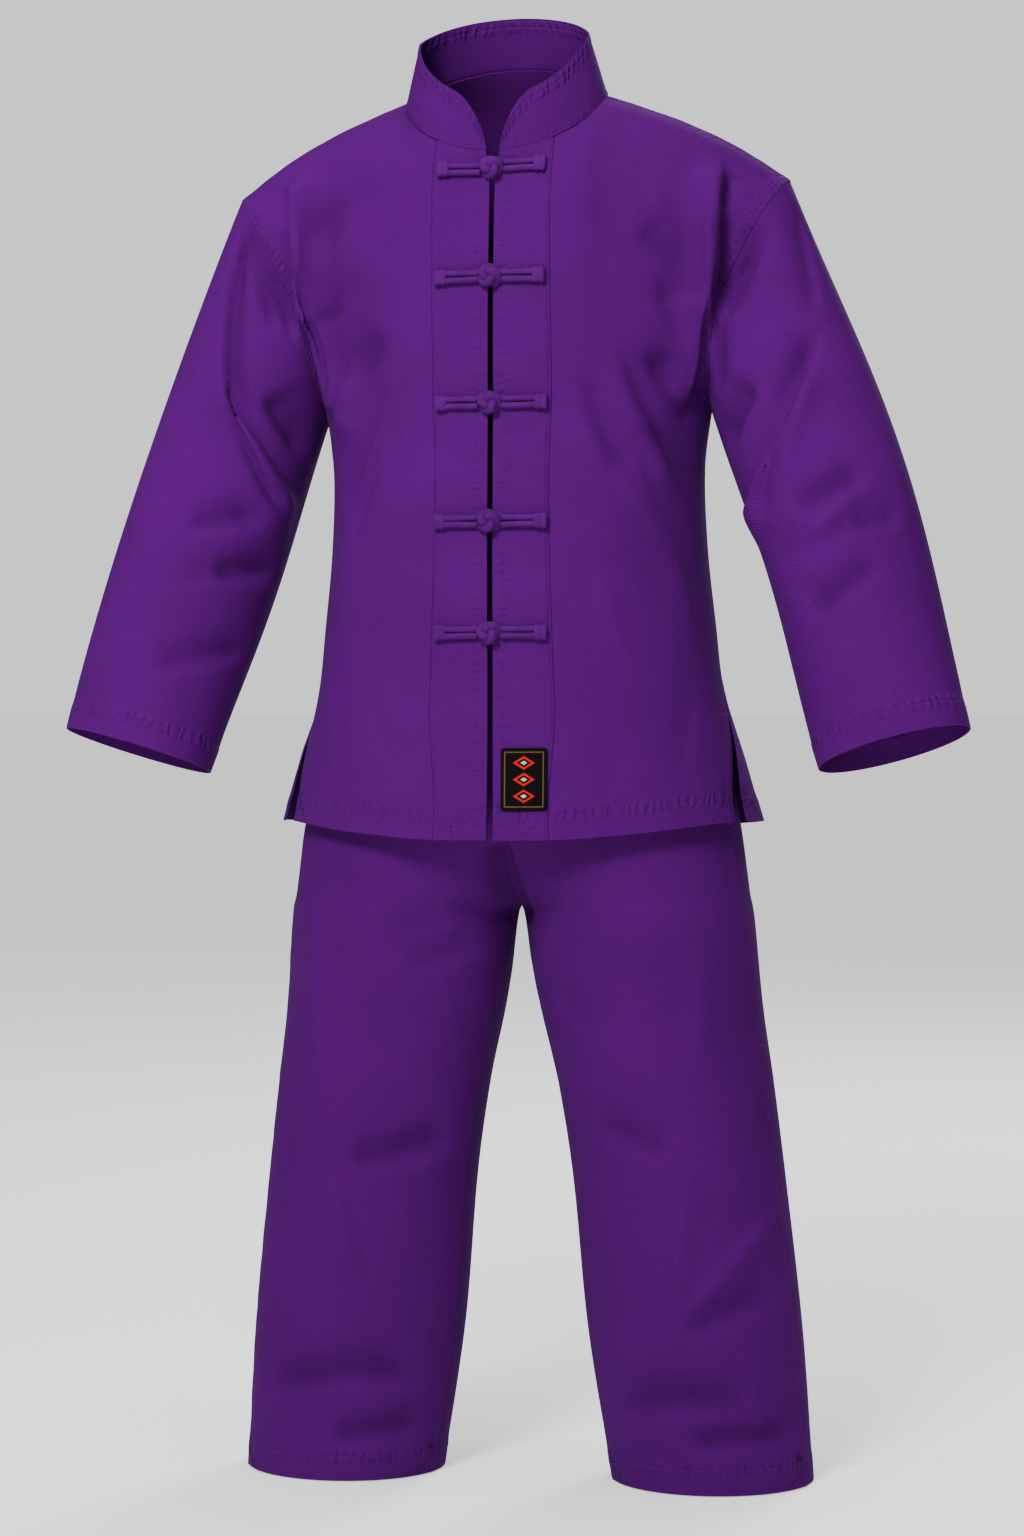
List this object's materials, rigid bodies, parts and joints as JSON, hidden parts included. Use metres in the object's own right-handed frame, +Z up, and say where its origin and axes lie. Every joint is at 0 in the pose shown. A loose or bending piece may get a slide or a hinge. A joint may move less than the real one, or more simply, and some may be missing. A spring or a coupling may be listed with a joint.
{
  "type": "tai chi uniform",
  "caption": "Loose cotton tai chi uniform, worn shape with no wearer: stand-collar jacket closed by knotted cord frogs, with side slits, over wide straight trousers.",
  "frame": {"origin": "on the middle axis at shoulder height, inside the neck, where the wearer holds the uniform up", "axes": "+Z up, the front faces -Y, +X towards the wearer's left"},
  "size_m": [0.907, 0.2946, 1.4506],
  "materials": {
    "jacket_cloth": "soft matt woven cotton",
    "trouser_cloth": "soft matt woven cotton",
    "frog_braid": "round sewn cord with a faint sheen",
    "badge_cloth": "dense embroidered twill"
  },
  "bodies": {
    "root": {"jacket_front_left": "jacket_cloth", "jacket_front_right": "jacket_cloth", "jacket_back": "jacket_cloth", "jacket_sleeve_left": "jacket_cloth", "jacket_sleeve_right": "jacket_cloth", "jacket_collar": "jacket_cloth", "front_band_left": "jacket_cloth", "front_band_right": "jacket_cloth", "trouser_front_left": "trouser_cloth", "trouser_front_right": "trouser_cloth", "trouser_back_left": "trouser_cloth", "trouser_back_right": "trouser_cloth", "trouser_waistband": "trouser_cloth", "frog_1_cords_left": "frog_braid", "frog_1_cords_right": "frog_braid", "frog_1_knot": "frog_braid", "frog_2_cords_left": "frog_braid", "frog_2_cords_right": "frog_braid", "frog_2_knot": "frog_braid", "frog_3_cords_left": "frog_braid", "frog_3_cords_right": "frog_braid", "frog_3_knot": "frog_braid", "frog_4_cords_left": "frog_braid", "frog_4_cords_right": "frog_braid", "frog_4_knot": "frog_braid", "frog_5_cords_left": "frog_braid", "frog_5_cords_right": "frog_braid", "frog_5_knot": "frog_braid", "badge": "badge_cloth"}
  },
  "joints": []
}
